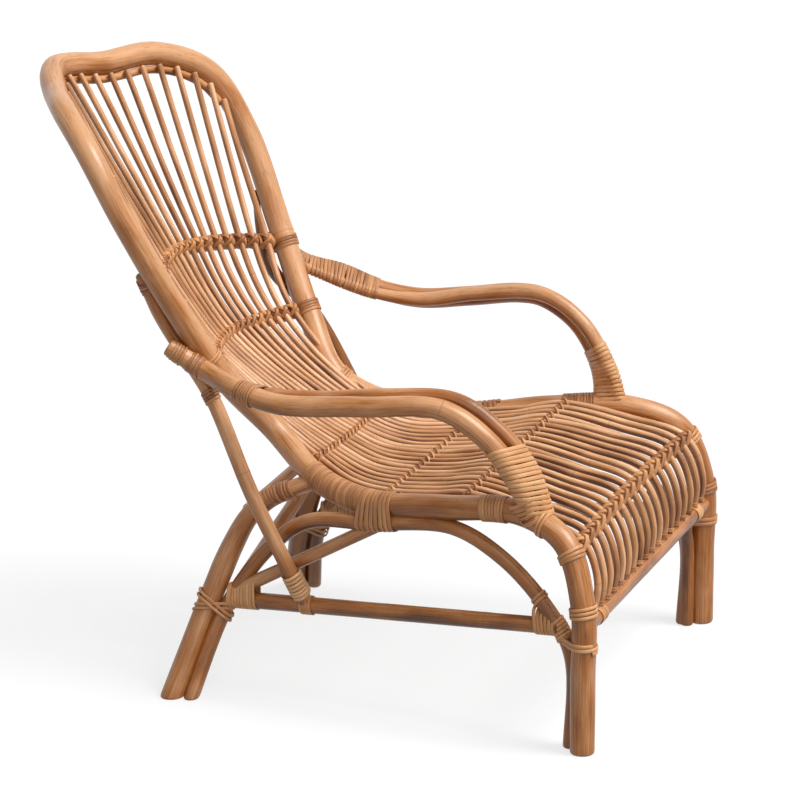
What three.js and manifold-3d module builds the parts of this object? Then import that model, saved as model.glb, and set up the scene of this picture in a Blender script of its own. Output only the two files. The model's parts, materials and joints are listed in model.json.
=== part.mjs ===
// Rattan lounge armchair: bent frame poles, fanned spindles and cane bindings.
// Millimetres, +Z up. The sitter faces -Y, so the sitter's left is +X.
import * as THREE from 'three';
import { mergeVertices } from 'three/addons/utils/BufferGeometryUtils.js';
import Module from 'manifold-3d';

const wasm = await Module();
wasm.setup();

// Diameters of the poles and canes.
const FRAME_D = 36;
const ARM_D = 30;
const RIDER_D = 22;
const REAR_LEG_D = 34;
const ARCH_D = 22;
const FRONT_ARCH_D = 20;
const BRACE_D = 20;
const CROSS_BRACE_D = 22;
const STRETCHER_D = 24;
const STRUT_D = 22;
const REAR_RAIL_D = 18;
const CROSSRAIL_D = 24;
const BAR_D = 14;
const CREST_ROD_D = 12;
const SPINDLE_D = 10;
const CANE_D = 6;

// Clearance between pieces that touch, and how far a foot is cut off below the floor line.
const GAP = 0.4;
const FOOT_TRIM = 12;

// Left half of the frame pole, from the front foot along the seat rail and up the back to the crest.
// Each station is its distance from the middle plane, its depth behind the front leg and its height.
const FRAME = {
  foot: [300, 0, 0],
  shin: [300, 0, 110],
  knee: [300, 1, 222],
  frontBend: [284, 33, 306],
  railFront: [264, 104, 336],
  railMiddle: [250, 229, 328],
  railRear: [222, 345, 314],
  rearBend: [184, 435, 328],
  waist: [138, 521, 382],
  lowerStile: [179, 580, 462],
  upperStile: [223, 641, 578],
  shoulder: [258, 708, 716],
  upperShoulder: [246, 761, 800],
  crestSide: [183, 821, 839],
  crestInner: [90, 873, 842],
  crestTop: [38, 899, 851],
  crest: [0, 908, 855],
};

// Bars under the spindles: where each end meets the frame, the depth and height of its middle, and the
// clear edge between the outermost spindle and a cane binding on the frame.
const BARS = {
  upper_back_bar: { end: [222, 628, 556], middle: [740, 582], edge: 4, steps: 12 },
  lower_back_bar: { end: [190, 586, 461], middle: [654, 462], edge: 4, steps: 10 },
  rear_seat_bar: { end: [170, 460, 341], middle: [452, 331], edge: 2, steps: 4 },
  middle_seat_bar: { end: [230, 320, 316], middle: [320, 310], edge: 4, steps: 4 },
  front_seat_bar: { end: [254, 196, 332], middle: [196, 331], edge: 5, steps: 4 },
  front_edge_bar: { end: [290, 22, 290], middle: [28, 294], edge: 9, steps: 4 },
};

// Spindles: their number, which of them end on the seat, counted from the left from 0, how far these reach from
// the last seat bar to the front edge, the clearance over a bar, the head above the crest rod, and how far they
// bulge in front of the crossrail.
const SPINDLE_COUNT = 21;
const SHORT_SPINDLES = [3, 10, 17];
const SHORT_REACH = 0.72;
const SPINDLE_SEAT = 0.9;
const SPINDLE_HEAD = 5;
const SPINDLE_BULGE = 16;
const CROSSRAIL_EDGE = 9;
const SPINDLE_STEPS = 3;
const CREST_END = [254, 728, 762];
const CREST_STATIONS = 16;
const CROSSRAIL_HEIGHT = 188;
const KNEE_HEIGHT = CROSSRAIL_HEIGHT + 28;

// Arms, bent by hand and a little different: where each one passes the stile, its tail behind the stile, its
// stations, its foot on the seat rail, and whether its rider starts from the stile. The rider's stations are
// fractions of the arm's length, and its tilt is in degrees, from the rear to the front.
const ARMS = {
  left: {
    back: [206, 618, 532],
    tail: [5, 54, 34],
    stations: [[256, 556, 505], [274, 503, 480], [284, 441, 469], [289, 363, 478], [289, 285, 490],
      [287, 246, 487], [284, 197, 459], [280, 166, 419], [274, 149, 378]],
    foot: [258, 141, 335],
    riderFromStile: true,
  },
  right: {
    back: [192, 596, 500],
    tail: [5, 54, 32],
    stations: [[262, 540, 479], [282, 465, 467], [290, 335, 478], [286, 215, 484], [281, 147, 442],
      [276, 107, 388]],
    foot: [269, 80, 331],
    riderFromStile: false,
  },
};
const RIDER_TILT = [-12, 46];
const RIDER_STATIONS = [0.28, 0.4, 0.55, 0.7, 0.8, 0.9];
const RIDER_HEADS = { onStile: 0.16, onArm: 0.22 };

// Rear leg, side arch, stretcher, brace, strut, rear rail and front arch.
const REAR_LEG = [[267, 634, 0], [203, 598, 133], [190, 568, 213], [188, 540, 264], [186, 511, 292],
  [186, 471, 312]];
const ARCH_REAR = [[205, 498, 230], [222, 436, 276]];
const ARCH_FRONT = [[257, 137, 266], [276, 66, 209]];
const ARCH_CONTACT_REAR = [226, 335, 314];
const ARCH_CONTACT_FRONT = [251, 215, 329];
const ARCH_BOUND_HEIGHT = 140;
const STRETCHER_REAR = [205, 565, 138];
const STRETCHER_FRONT = [288, 34, 185];
const BRACE_FOOT = [203, 556, 149];
const BRACE_HEAD = [242, 264, 322];
const STRUT_HEAD = [237, 669, 634];
const STRUT_STATIONS = [[213, 666, 560], [201, 642, 512], [222, 587, 450], [241, 518, 313], [239, 457, 194]];
const STRUT_FOOT = [224, 442, 149];
const REAR_RAIL_SEAT = [188, 540, 264];
const REAR_RAIL_SETBACK = 14;
const CROSS_BRACE = { foot: [203, 570, 146], head: [189, 552, 242] };
const FRONT_ARCH_CORNER = 58;
const FRONT_ARCH_SETBACK = 16;

// Cane bindings: the pole they go round, a second pole bound to it, the middle of the binding, its turns and
// the gap from turn to turn. A star in a name stands for the side.
const BINDINGS = {
  arm_front_binding_left: { pole: 'arm_*', partner: 'arm_rider_*', middle: [278, 160, 407], turns: 6, gap: 3 },
  arm_front_binding_right: { pole: 'arm_*', partner: 'arm_rider_*', middle: [278, 119, 404], turns: 7, gap: 2 },
  arm_rear_binding_left: { pole: 'arm_*', partner: 'arm_rider_*', middle: [259, 545, 500], turns: 6, gap: 3 },
  arm_rear_binding_right: { pole: 'arm_*', partner: 'arm_rider_*', middle: [277, 492, 470], turns: 6, gap: 3 },
  bend_binding_right: { pole: 'side_pole_*', middle: [203, 394, 318], turns: 8, gap: 2 },
  rail_binding_left: { pole: 'side_pole_*', middle: [256, 174, 334], turns: 2, gap: 2 },
  rail_binding_right: { pole: 'side_pole_*', middle: [258, 152, 335], turns: 4, gap: 2 },
  'knee_binding_*': { pole: 'side_pole_*', middle: [300, 1, KNEE_HEIGHT], turns: 3, gap: 2 },
  'rear_leg_binding_*': {
    pole: 'rear_leg_*', partner: 'side_arch_*', middle: [207, 599, 126], turns: 3, gap: 2,
  },
};
const TURN_STEPS = 10;
const PAIR_TURN_STEPS = 14;
const PAIR_STRETCH = 1.85;

// Directions: left, back, forward, down, and the sides of the front leg and the rail where the side arch lies.
const LEFT = new THREE.Vector3(1, 0, 0);
const BACK = new THREE.Vector3(0, 1, 0);
const FORWARD = new THREE.Vector3(0, -1, 0);
const DOWN = new THREE.Vector3(0, 0, -1);
const FRONT_LEG_SIDE = new THREE.Vector3(-0.6, 0.8, 0);
const RAIL_SIDE = new THREE.Vector3(0.5, 0, -0.87);

// Materials: frame poles, thinner poles and spindles, and binding cane.
const POLE_FINISH = new THREE.MeshStandardMaterial({ color: 0xb5804f, roughness: 0.45, metalness: 0 });
const SPINDLE_FINISH = new THREE.MeshStandardMaterial({ color: 0xbd8a5c, roughness: 0.5, metalness: 0 });
const CANE_FINISH = new THREE.MeshStandardMaterial({ color: 0xc0906a, roughness: 0.55, metalness: 0 });

const vec = (p) => new THREE.Vector3(...p);
const mirrored = (p) => new THREE.Vector3(-p.x, p.y, p.z);
const route = (points) => new THREE.CatmullRomCurve3(points, false, 'centripetal');

// Smooth curve through stations, whose steps are shared out evenly between one station and the next.
class StationCurve extends THREE.CatmullRomCurve3 {
  constructor(points) {
    super(points, false, 'centripetal');
  }

  getUtoTmapping(u) {
    return u;
  }
}

// Part of a curve, between two fractions of its length.
class Stretch extends THREE.Curve {
  constructor(curve, from, to) {
    super();
    Object.assign(this, { curve, from, to });
  }

  getPoint(t, target = new THREE.Vector3()) {
    return this.curve.getPointAt(THREE.MathUtils.lerp(this.from, this.to, t), target);
  }
}

// The same curve on the other side of the middle plane.
class Mirror extends THREE.Curve {
  constructor(curve) {
    super();
    this.curve = curve;
  }

  getPoint(t, target = new THREE.Vector3()) {
    const point = this.curve.getPoint(t, target);
    point.x *= -1;
    return point;
  }
}

// Fraction of a curve's length that lies nearest to a point.
function nearest(curve, point) {
  const samples = 600;
  let best = { fraction: 0, distance: Infinity };
  for (let i = 0; i <= samples; i += 1) {
    const distance = curve.getPointAt(i / samples).distanceTo(point);
    if (distance < best.distance) best = { fraction: i / samples, distance };
  }
  return best.fraction;
}

function pointOn(curve, point) {
  return curve.getPointAt(nearest(curve, point));
}

// Unit vector across a tangent, as close to a wanted direction as it can be.
function across(tangent, direction) {
  return direction.clone().addScaledVector(tangent, -direction.dot(tangent)).normalize();
}

// Point beside a curve: near a given point, to one side, at a centre distance.
function beside(curve, point, direction, distance) {
  const fraction = nearest(curve, point);
  const side = across(curve.getTangentAt(fraction), direction);
  return curve.getPointAt(fraction).addScaledVector(side, distance);
}

// Adds a point below the floor in line with the end of a leg, so that its foot can be cut flat.
function footed(foot, next) {
  const along = foot.clone().sub(next);
  return foot.clone().addScaledVector(along, FOOT_TRIM / Math.abs(along.z));
}

function section(diameter, sides) {
  const corner = (i) => (i * 2 * Math.PI) / sides;
  const rim = (i) => new THREE.Vector2(Math.cos(corner(i)), Math.sin(corner(i))).multiplyScalar(diameter / 2);
  return new THREE.Shape(Array.from({ length: sides }, (_, i) => rim(i)));
}

function tube({ curve, diameter, steps, sides }) {
  return new THREE.ExtrudeGeometry(section(diameter, sides), { steps, extrudePath: curve });
}

function solidOf(geometry) {
  geometry.deleteAttribute('normal');
  geometry.deleteAttribute('uv');
  const { attributes, index } = mergeVertices(geometry);
  const triVerts = new Uint32Array(index.array);
  const vertProperties = attributes.position.array;
  return new wasm.Manifold(new wasm.Mesh({ numProp: 3, vertProperties, triVerts }));
}

function geometryOf(solid) {
  const { vertProperties, triVerts } = solid.getMesh();
  const geometry = new THREE.BufferGeometry();
  geometry.setAttribute('position', new THREE.BufferAttribute(vertProperties, 3));
  geometry.setIndex(new THREE.BufferAttribute(triVerts, 1));
  geometry.computeVertexNormals();
  return geometry;
}

function largest(solid) {
  return solid.decompose().reduce((a, b) => (a.volume() > b.volume() ? a : b));
}

const chair = new THREE.Group();
const poles = {};

function addMesh(name, geometry, finish) {
  const mesh = new THREE.Mesh(geometry, finish);
  mesh.name = name;
  chair.add(mesh);
}

// The space that a pole and its clearance take up.
function envelope(name) {
  const pole = poles[name];
  pole.space ??= solidOf(tube({ ...pole, diameter: pole.diameter + 2 * GAP }));
  return pole.space;
}

// Adds a bent pole whose ends are shaped to the poles that it meets, with any foot cut flat at the floor.
function addPole(name, curve, diameter, { steps, sides = 8, meets = [], finish = POLE_FINISH }) {
  poles[name] = { curve, diameter, steps, sides };
  const shaped = meets.reduce((solid, other) => solid.subtract(envelope(other)), solidOf(tube(poles[name])));
  addMesh(name, geometryOf(largest(shaped.trimByPlane([0, 0, 1], 0))), finish);
}

// Adds the same pole on both sides of the chair.
function addPair(name, curve, diameter, options) {
  for (const [side, path] of [['left', curve], ['right', new Mirror(curve)]]) {
    const meets = (options.meets ?? []).map((other) => other.replace('*', side));
    addPole(name.replace('*', side), path, diameter, { ...options, meets });
  }
}

// Frame loop: left half, crest, right half, spliced in the rear bends.
const half = Object.values(FRAME).map(vec);
half[0] = footed(half[0], half[1]);
const loop = route([...half, ...half.slice(0, -1).reverse().map(mirrored)]);
loop.arcLengthDivisions = 1200;
const splice = nearest(loop, vec(FRAME.rearBend));
const spliceGap = GAP / 2 / loop.getLength();
addPair('side_pole_*', new Stretch(loop, 0, splice - spliceGap), FRAME_D, { steps: 26 });
addPole('back_hoop', new Stretch(loop, splice + spliceGap, 1 - splice - spliceGap), FRAME_D, { steps: 46 });
const frameNodes = ['side_pole_left', 'side_pole_right', 'back_hoop'];
const frameSide = ['side_pole_*', 'back_hoop'];

// Bars across the back and the seat, each bowed through its middle point.
function bowed(end, depth, height) {
  const opposite = mirrored(end);
  const middle = new THREE.Vector3(0, depth, height);
  const control = middle.multiplyScalar(2).sub(end.clone().add(opposite).multiplyScalar(0.5));
  return new THREE.QuadraticBezierCurve3(end, control, opposite);
}

const bars = Object.entries(BARS).map(([name, { end, middle, edge, steps }]) => {
  const curve = bowed(pointOn(loop, vec(end)), ...middle);
  addPole(name, curve, BAR_D, { steps, sides: 6, meets: frameNodes });
  return Object.assign(curve, { edge });
});
const onFrontLeg = (height) => new THREE.Vector3(FRAME.foot[0], 0, height);
const railEnd = pointOn(loop, onFrontLeg(CROSSRAIL_HEIGHT));
const crossrail = Object.assign(new THREE.LineCurve3(railEnd, mirrored(railEnd)), { edge: CROSSRAIL_EDGE });
addPole('front_crossrail', crossrail, CROSSRAIL_D, { steps: 2, meets: frameNodes });

// Crest rod under the hoop, on the side where the spindles come up.
const crestEnd = nearest(loop, vec(CREST_END));
const crestFraction = (across01) => THREE.MathUtils.lerp(crestEnd, 1 - crestEnd, across01);
function crestPoint(across01) {
  const fraction = crestFraction(across01);
  const hoopPoint = loop.getPointAt(fraction);
  const towardsBar = bars[0].getPoint(across01).sub(hoopPoint);
  const side = across(loop.getTangentAt(fraction), towardsBar);
  return hoopPoint.addScaledVector(side, FRAME_D / 2 + GAP + CREST_ROD_D / 2);
}
const crestRod = route(Array.from({ length: CREST_STATIONS + 1 }, (_, i) => crestPoint(i / CREST_STATIONS)));
addPole('crest_rod', crestRod, CREST_ROD_D, { steps: 24, sides: 5, meets: ['back_hoop'] });

// Spindles: in front of the crest rod and the back bars, over the seat bars and the front edge, to the
// crossrail. The short ones end between their neighbours.
function barFraction(bar, across01) {
  const inset = FRAME_D / 2 + CANE_D + bar.edge + SPINDLE_D / 2;
  const margin = inset / (2 * bar.getPoint(0).x);
  return THREE.MathUtils.lerp(margin, 1 - margin, across01);
}
function crossing(index, across01) {
  const bar = bars[index];
  const fraction = barFraction(bar, across01);
  const before = index > 0 ? bars[index - 1].getPoint(fraction) : crestPoint(across01);
  const after = index < bars.length - 1 ? bars[index + 1].getPoint(fraction) : crossrail.getPoint(fraction);
  const outward = bar.getTangent(fraction).cross(after.sub(before)).normalize();
  return bar.getPoint(fraction).addScaledVector(outward, BAR_D / 2 + SPINDLE_SEAT + SPINDLE_D / 2);
}
function spindleHead(across01, next) {
  const rod = crestRod.getPointAt(across01);
  const down = next.clone().sub(rod).normalize();
  const outward = crestRod.getTangentAt(across01).cross(down).normalize();
  return rod.addScaledVector(outward, CREST_ROD_D / 2 + SPINDLE_SEAT + SPINDLE_D / 2)
    .addScaledVector(down, -SPINDLE_HEAD);
}
const frontSteps = SPINDLE_COUNT - SHORT_SPINDLES.length - 1;
function spindlePath(i) {
  const across01 = i / (SPINDLE_COUNT - 1);
  const rank = i - SHORT_SPINDLES.filter((short) => short < i).length;
  const seated = bars.slice(0, -1).map((_, index) => crossing(index, across01));
  const overEdge = (place) => crossing(bars.length - 1, place / frontSteps);
  const tip = seated.at(-1).clone().lerp(overEdge(rank - 0.5), SHORT_REACH);
  const landing = crossrail.getPoint(barFraction(crossrail, rank / frontSteps));
  const bulge = overEdge(rank).lerp(landing, 0.5).addScaledVector(FORWARD, SPINDLE_BULGE);
  const front = [overEdge(rank), bulge, landing];
  const ending = SHORT_SPINDLES.includes(i) ? [tip] : front;
  return new StationCurve([spindleHead(across01, seated[0]), ...seated, ...ending]);
}
for (let i = 0; i < SPINDLE_COUNT; i += 1) {
  const path = spindlePath(i);
  addPole(`spindle_${String(i + 1).padStart(2, '0')}`, path, SPINDLE_D, {
    steps: SPINDLE_STEPS * (path.points.length - 1),
    sides: 5,
    meets: ['crest_rod', 'front_crossrail', ...Object.keys(BARS), ...frameNodes],
    finish: SPINDLE_FINISH,
  });
}

// Arms: an outer pole that passes outside the stile and lands on the seat rail. A thinner rider lies along its
// inner side, and climbs onto its front.
const riderDistance = ARM_D / 2 + GAP + RIDER_D / 2;
function riderPoint(arm, fraction) {
  const tangent = arm.getTangentAt(fraction);
  const inward = across(tangent, LEFT.clone().negate());
  const upward = inward.clone().cross(tangent);
  const tilt = THREE.MathUtils.degToRad(THREE.MathUtils.lerp(...RIDER_TILT, fraction));
  return arm.getPointAt(fraction)
    .addScaledVector(inward, riderDistance * Math.cos(tilt))
    .addScaledVector(upward, riderDistance * Math.sin(tilt));
}
for (const [side, { back, tail, stations, foot, riderFromStile }] of Object.entries(ARMS)) {
  const passing = beside(loop, vec(back), LEFT, FRAME_D / 2 + GAP + ARM_D / 2);
  const landing = pointOn(loop, vec(foot));
  const arm = route([passing.clone().add(vec(tail)), passing, ...stations.map(vec), landing]);
  const riderFoot = landing.clone().addScaledVector(FORWARD, riderDistance);
  const alongArm = RIDER_STATIONS.map((fraction) => riderPoint(arm, fraction));
  const head = riderFromStile
    ? [pointOn(loop, vec(back)), riderPoint(arm, RIDER_HEADS.onStile)]
    : [riderPoint(arm, RIDER_HEADS.onArm)];
  const rider = route([...head, ...alongArm, pointOn(loop, riderFoot)]);
  const onSide = (curve) => (side === 'left' ? curve : new Mirror(curve));
  const frame = frameSide.map((name) => name.replace('*', side));
  addPole(`arm_${side}`, onSide(arm), ARM_D, { steps: 20, meets: frame });
  addPole(`arm_rider_${side}`, onSide(rider), RIDER_D, {
    steps: 18, sides: 6, meets: [...frame, `arm_${side}`],
  });
}

// Rear legs, from the rear bend of the frame out to the floor.
const legStations = REAR_LEG.map(vec);
const rearLeg = route([footed(legStations[0], legStations[1]), ...legStations.slice(1), vec(FRAME.rearBend)]);
addPair('rear_leg_*', rearLeg, REAR_LEG_D, { steps: 12, meets: frameSide });

// Rear rail, let into the backs of both rear legs.
const rearSeat = beside(rearLeg, vec(REAR_RAIL_SEAT), BACK, REAR_RAIL_SETBACK);
addPole('rear_rail', new THREE.LineCurve3(rearSeat, mirrored(rearSeat)), REAR_RAIL_D, {
  steps: 2, meets: ['rear_leg_left', 'rear_leg_right'],
});

// Side arches, from beside the rear foot, under the seat rail, to beside the front foot.
const archToLeg = REAR_LEG_D / 2 + GAP + ARCH_D / 2;
const archToFrame = FRAME_D / 2 + GAP + ARCH_D / 2;
const rearArchFoot = beside(rearLeg, legStations[0], FORWARD, archToLeg);
const rearArchTop = beside(rearLeg, new THREE.Vector3(legStations[1].x, legStations[1].y, ARCH_BOUND_HEIGHT),
  FORWARD, archToLeg);
const frontArchTop = beside(loop, onFrontLeg(ARCH_BOUND_HEIGHT), FRONT_LEG_SIDE, archToFrame);
const frontArchFoot = beside(loop, onFrontLeg(0), FRONT_LEG_SIDE, archToFrame);
const sideArch = route([
  footed(rearArchFoot, rearArchTop), rearArchTop, ...ARCH_REAR.map(vec),
  beside(loop, vec(ARCH_CONTACT_REAR), RAIL_SIDE, archToFrame),
  beside(loop, vec(ARCH_CONTACT_FRONT), DOWN, archToFrame),
  ...ARCH_FRONT.map(vec), frontArchTop, footed(frontArchFoot, frontArchTop),
]);
addPair('side_arch_*', sideArch, ARCH_D, { steps: 26, sides: 6, meets: ['side_pole_*', 'rear_leg_*'] });

// Stretchers between the two legs of each arch, and braces from the rear leg of the arch up to the rail.
const stretcher = new THREE.LineCurve3(
  pointOn(sideArch, vec(STRETCHER_REAR)), pointOn(sideArch, vec(STRETCHER_FRONT)),
);
addPair('stretcher_*', stretcher, STRETCHER_D, {
  steps: 3, meets: ['side_arch_*', 'rear_leg_*', 'side_pole_*'],
});
const brace = new THREE.LineCurve3(pointOn(sideArch, vec(BRACE_FOOT)), pointOn(loop, vec(BRACE_HEAD)));
addPair('brace_*', brace, BRACE_D, {
  steps: 3, meets: ['side_arch_*', 'side_pole_*', 'rear_leg_*', 'stretcher_*'],
});

// Cross brace behind the seat, from the right arch up to the left rear leg.
const crossBrace = new THREE.LineCurve3(
  mirrored(pointOn(sideArch, vec(CROSS_BRACE.foot))), pointOn(rearLeg, vec(CROSS_BRACE.head)),
);
addPole('rear_cross_brace', crossBrace, CROSS_BRACE_D, {
  steps: 3,
  meets: ['side_arch_right', 'rear_leg_right', 'rear_leg_left', 'rear_rail', 'stretcher_right', 'brace_right'],
});

// Struts from behind each stile down to the stretcher.
const strutHead = beside(loop, vec(STRUT_HEAD), BACK, FRAME_D / 2 + GAP + STRUT_D / 2);
const strut = route([strutHead, ...STRUT_STATIONS.map(vec), pointOn(stretcher, vec(STRUT_FOOT))]);
addPair('back_strut_*', strut, STRUT_D, {
  steps: 12,
  sides: 6,
  meets: ['back_hoop', 'arm_*', 'rear_leg_*', 'rear_rail', 'stretcher_*', 'side_arch_*'],
});

// Front arch between the front legs, set back from them and from the crossrail above it.
const besideArch = (diameter) => {
  const distance = (diameter + FRONT_ARCH_D) / 2 + GAP;
  return Math.sqrt(distance ** 2 - FRONT_ARCH_SETBACK ** 2);
};
const frontArchX = railEnd.x - besideArch(FRAME_D);
const frontArchZ = CROSSRAIL_HEIGHT - besideArch(CROSSRAIL_D);
const corner = (inset, drop) => new THREE.Vector3(frontArchX - inset, FRONT_ARCH_SETBACK, frontArchZ - drop);
const rounding = (1 - Math.SQRT1_2) * FRONT_ARCH_CORNER;
const frontArchHalf = [
  new THREE.Vector3(frontArchX, FRONT_ARCH_SETBACK, -FOOT_TRIM),
  corner(0, 2 * FRONT_ARCH_CORNER), corner(0, FRONT_ARCH_CORNER),
  corner(rounding, rounding), corner(FRONT_ARCH_CORNER, 0), corner(2 * FRONT_ARCH_CORNER, 0),
];
const frontArch = route([...frontArchHalf, ...frontArchHalf.slice().reverse().map(mirrored)]);
addPole('front_arch', frontArch, FRONT_ARCH_D, {
  steps: 26,
  sides: 6,
  meets: ['front_crossrail', 'side_pole_left', 'side_pole_right', 'side_arch_left', 'side_arch_right'],
});

// Path of a cane wound round one pole, or round two poles that lie side by side.
class Winding extends THREE.Curve {
  constructor(pole, partner, middle, turns, gap) {
    super();
    const reach = (turns * (CANE_D + gap)) / 2 / pole.curve.getLength();
    const centre = nearest(pole.curve, middle);
    const turnSteps = partner ? PAIR_TURN_STEPS : TURN_STEPS;
    Object.assign(this, { pole, partner, turns, turnSteps, from: centre - reach, to: centre + reach });
  }

  // Radius of the cane's centre line, so that its straight steps still clear the pole.
  radius(diameter) {
    const stretch = this.partner ? PAIR_STRETCH : 1;
    return (diameter / 2 + GAP + CANE_D / 2) / Math.cos((stretch * Math.PI) / this.turnSteps);
  }

  getPoint(t, target = new THREE.Vector3()) {
    const fraction = THREE.MathUtils.lerp(this.from, this.to, t);
    const centre = this.pole.curve.getPointAt(fraction);
    const tangent = this.pole.curve.getTangentAt(fraction);
    const other = this.partner?.curve.getPointAt(nearest(this.partner.curve, centre)).sub(centre);
    const first = across(tangent, other ?? DOWN);
    const second = tangent.clone().cross(first);
    const spacing = other ? other.dot(first) : 0;
    const [along, aside] = this.outline((t * this.turns) % 1, spacing);
    return target.copy(centre).addScaledVector(first, along).addScaledVector(second, aside);
  }

  // Point of the band round two circles, the second one at a distance along the first axis.
  outline(turn, spacing) {
    const near = this.radius(this.pole.diameter);
    if (!this.partner) return [near * Math.cos(2 * Math.PI * turn), near * Math.sin(2 * Math.PI * turn)];
    const far = this.radius(this.partner.diameter);
    const lean = Math.acos((near - far) / spacing);
    const straight = spacing * Math.sin(lean);
    const nearArc = near * (Math.PI - lean);
    const farArc = far * 2 * lean;
    const rim = (shift, radius, angle) => [shift + radius * Math.cos(angle), radius * Math.sin(angle)];
    const mix = (a, b, k) => a.map((value, i) => THREE.MathUtils.lerp(value, b[i], k));
    let walk = turn * 2 * (nearArc + straight + farArc / 2);
    if (walk < nearArc) return rim(0, near, Math.PI + walk / near);
    walk -= nearArc;
    if (walk < straight) return mix(rim(0, near, -lean), rim(spacing, far, -lean), walk / straight);
    walk -= straight;
    if (walk < farArc) return rim(spacing, far, walk / far - lean);
    walk -= farArc;
    if (walk < straight) return mix(rim(spacing, far, lean), rim(0, near, lean), walk / straight);
    return rim(0, near, lean + (walk - straight) / near);
  }

  // Least clear gap between neighbouring turns, measured on points of the centre line.
  leastGap() {
    const perTurn = 24;
    const points = this.getPoints(this.turns * perTurn);
    let least = Infinity;
    for (let i = 0; i < points.length; i += 1) {
      for (let j = i + perTurn / 2; j < points.length; j += 1) {
        least = Math.min(least, points[i].distanceTo(points[j]) - CANE_D);
      }
    }
    return least;
  }
}

// Cane bindings, each one unbroken tube.
function addBinding(name, side, { pole, partner, middle, turns, gap }) {
  const centre = side === 'left' ? vec(middle) : mirrored(vec(middle));
  const poleOf = (star) => poles[star?.replace('*', side)];
  const curve = new Winding(poleOf(pole), poleOf(partner), centre, turns, gap);
  const geometry = tube({ curve, diameter: CANE_D, steps: turns * curve.turnSteps, sides: 4 });
  addMesh(name, geometryOf(solidOf(geometry)), CANE_FINISH);
  console.log(name, 'least gap', curve.leastGap().toFixed(2), 'mm');
}
for (const [name, binding] of Object.entries(BINDINGS)) {
  for (const side of ['left', 'right']) {
    if (name.endsWith('*') || name.endsWith(side)) addBinding(name.replace('*', side), side, binding);
  }
}

// The origin lies on the floor, under the middle of the chair.
const extent = new THREE.Box3().setFromObject(chair);
chair.position.y = -(extent.min.y + extent.max.y) / 2;

export default chair;
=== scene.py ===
import json
import math

import bpy
import numpy as np
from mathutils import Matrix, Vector


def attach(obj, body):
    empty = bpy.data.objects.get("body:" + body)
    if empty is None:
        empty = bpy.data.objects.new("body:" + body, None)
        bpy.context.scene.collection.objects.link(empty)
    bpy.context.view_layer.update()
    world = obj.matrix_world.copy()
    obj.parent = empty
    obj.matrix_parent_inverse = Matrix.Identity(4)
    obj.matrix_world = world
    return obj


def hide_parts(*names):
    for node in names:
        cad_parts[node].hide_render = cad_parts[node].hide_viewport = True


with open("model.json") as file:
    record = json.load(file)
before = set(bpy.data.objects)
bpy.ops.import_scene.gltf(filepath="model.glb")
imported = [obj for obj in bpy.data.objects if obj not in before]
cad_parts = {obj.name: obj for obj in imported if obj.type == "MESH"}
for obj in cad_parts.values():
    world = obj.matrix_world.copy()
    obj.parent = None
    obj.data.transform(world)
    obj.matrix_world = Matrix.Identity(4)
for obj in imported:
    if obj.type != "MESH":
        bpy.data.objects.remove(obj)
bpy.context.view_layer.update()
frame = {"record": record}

MOUNTS = {mount["name"]: mount for mount in frame["record"]["mounts"]}
FRONT_LEG_Y = 1000.0 * MOUNTS["front_foot_left"]["pos_m"][1]

# Diameters of the poles, as in the CAD model.
FRAME_D = 36.0
ARM_D = 30.0
RIDER_D = 22.0
REAR_LEG_D = 34.0
ARCH_D = 22.0
FRONT_ARCH_D = 20.0
BRACE_D = 20.0
CROSS_BRACE_D = 22.0
STRETCHER_D = 24.0
STRUT_D = 22.0
REAR_RAIL_D = 18.0
CROSSRAIL_D = 24.0
BAR_D = 14.0
CREST_ROD_D = 12.0
SPINDLE_D = 10.0
CANE_D = 6.0

# Clearance between poles that lie side by side, and how far the feet are built past the floor and cut.
GAP = 0.4
FOOT_TRIM = 12.0

# Half of the frame pole, from the front foot to the middle of the crest.
FRAME = {
    "foot": (300, 0, 0),
    "shin": (300, 0, 110),
    "knee": (300, 1, 222),
    "front_bend": (284, 33, 306),
    "rail_front": (264, 104, 336),
    "rail_middle": (250, 229, 328),
    "rail_rear": (222, 345, 314),
    "rear_bend": (184, 435, 328),
    "waist": (138, 521, 382),
    "lower_stile": (179, 580, 462),
    "upper_stile": (223, 641, 578),
    "shoulder": (258, 708, 716),
    "upper_shoulder": (246, 761, 800),
    "crest_side": (183, 821, 839),
    "crest_inner": (90, 873, 842),
    "crest_top": (38, 899, 851),
    "crest": (0, 908, 855),
}

# Bars under the spindles: where an end meets the frame, depth and height of the middle, clear edge at the ends.
BARS = {
    "upper_back_bar": {"end": (222, 628, 556), "middle": (740, 582), "edge": 4},
    "lower_back_bar": {"end": (190, 586, 461), "middle": (654, 462), "edge": 4},
    "rear_seat_bar": {"end": (170, 460, 341), "middle": (452, 331), "edge": 2},
    "middle_seat_bar": {"end": (230, 320, 316), "middle": (320, 310), "edge": 4},
    "front_seat_bar": {"end": (254, 196, 332), "middle": (196, 331), "edge": 5},
    "front_edge_bar": {"end": (290, 22, 290), "middle": (28, 294), "edge": 9},
}

# Spindles: their number, which of them end on the seat, how they lie on the bars, and how they bend.
SPINDLE_COUNT = 21
SHORT_SPINDLES = (3, 10, 17)
SHORT_REACH = 0.72
SPINDLE_SEAT = 0.9
SPINDLE_HEAD = 5.0
SPINDLE_BULGE = 16.0
CROSSRAIL_EDGE = 9.0
SPINDLE_SPREAD = 6.0
SEAT_RISE = 6.0
SEAT_RISE_PLACE = 0.55

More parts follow.
